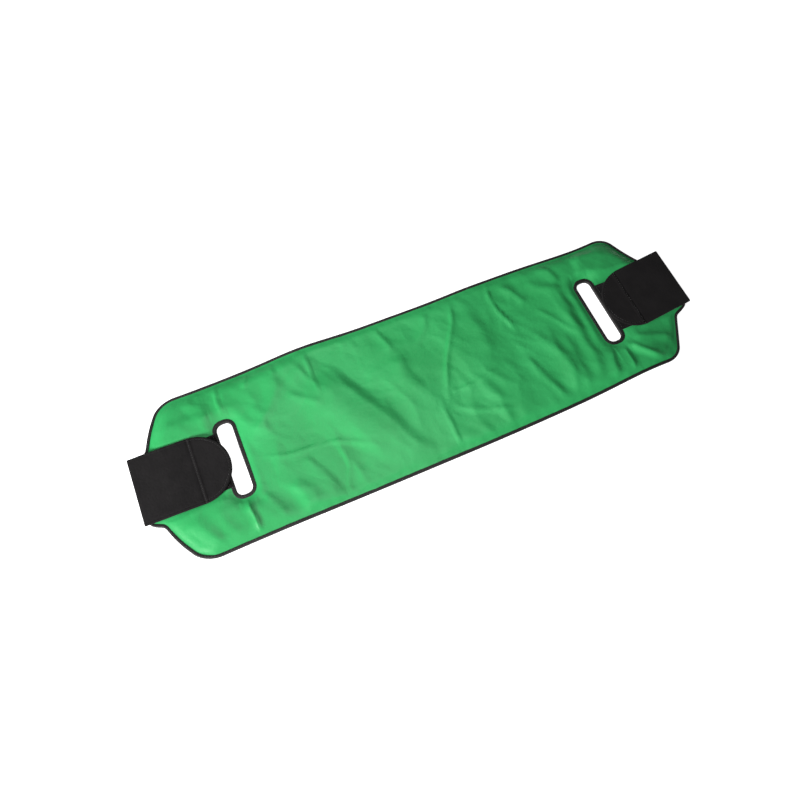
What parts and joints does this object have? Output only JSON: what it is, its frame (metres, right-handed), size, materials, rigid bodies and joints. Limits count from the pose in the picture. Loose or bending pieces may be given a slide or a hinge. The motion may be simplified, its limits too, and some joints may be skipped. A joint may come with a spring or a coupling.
{
  "type": "gait belt",
  "caption": "Padded gait belt with bound hand slots and, at each end, a wide strap folded back over the front and held by a hook and loop tab.",
  "frame": {"origin": "middle of the back face, where the belt rests", "axes": "+X along the belt's length, +Y across it, +Z out of the front cover"},
  "size_m": [0.87, 0.244, 0.0102],
  "materials": {
    "green_cloth": "satin woven nylon",
    "foam": "closed cell foam",
    "lining_cloth": "matt woven nylon",
    "binding_tape": "ribbed woven tape",
    "reinforcement": "plain sheet",
    "loop_pile": "brushed loop pile",
    "hook_tape": "moulded hook tape",
    "strap_webbing": "matt webbing",
    "thread": "bonded thread"
  },
  "bodies": {
    "centre": {"front_cover_centre": "green_cloth", "foam_core_centre": "foam", "back_lining_centre": "lining_cloth", "edge_binding_top": "binding_tape", "edge_binding_bottom": "binding_tape"},
    "left_wing": {"front_cover_left": "green_cloth", "foam_core_left": "foam", "back_lining_left": "lining_cloth", "edge_binding_left": "binding_tape", "slot_reinforcement_left": "reinforcement", "slot_binding_left": "binding_tape", "loop_patch_left": "loop_pile", "loop_patch_stitches_left": "thread", "strap_root_left": "strap_webbing", "strap_root_stitches_left": "thread", "strap_fold_left": "strap_webbing"},
    "left_flap": {"strap_flap_left": "strap_webbing"},
    "left_tab": {"strap_tab_left": "strap_webbing", "hook_patch_left": "hook_tape", "tab_seam_stitches_left": "thread"},
    "right_wing": {"front_cover_right": "green_cloth", "foam_core_right": "foam", "back_lining_right": "lining_cloth", "edge_binding_right": "binding_tape", "slot_reinforcement_right": "reinforcement", "slot_binding_right": "binding_tape", "loop_patch_right": "loop_pile", "loop_patch_stitches_right": "thread", "strap_root_right": "strap_webbing", "strap_root_stitches_right": "thread", "strap_fold_right": "strap_webbing"},
    "right_flap": {"strap_flap_right": "strap_webbing"},
    "right_tab": {"strap_tab_right": "strap_webbing", "hook_patch_right": "hook_tape", "tab_seam_stitches_right": "thread"}
  },
  "joints": [
    {"name": "left_crease", "type": "hinge", "parent": "centre", "child": "left_wing", "pos_m": [-0.15, 0, 0.006], "axis": [0, 1, 0], "range_deg": [0, 100]},
    {"name": "left_strap_fold", "type": "hinge", "parent": "left_wing", "child": "left_flap", "pos_m": [-0.433, 0, 0.008], "axis": [0, -1, 0], "range_deg": [0, 180], "deforming": ["strap_fold_left"]},
    {"name": "left_tab_peel", "type": "hinge", "parent": "left_flap", "child": "left_tab", "pos_m": [-0.3505, 0, 0.01], "axis": [0, -1, 0], "range_deg": [0, 120]},
    {"name": "right_crease", "type": "hinge", "parent": "centre", "child": "right_wing", "pos_m": [0.15, 0, 0.006], "axis": [0, -1, 0], "range_deg": [0, 100]},
    {"name": "right_strap_fold", "type": "hinge", "parent": "right_wing", "child": "right_flap", "pos_m": [0.433, 0, 0.008], "axis": [0, 1, 0], "range_deg": [0, 180], "deforming": ["strap_fold_right"]},
    {"name": "right_tab_peel", "type": "hinge", "parent": "right_flap", "child": "right_tab", "pos_m": [0.3505, 0, 0.01], "axis": [0, 1, 0], "range_deg": [0, 120]}
  ]
}
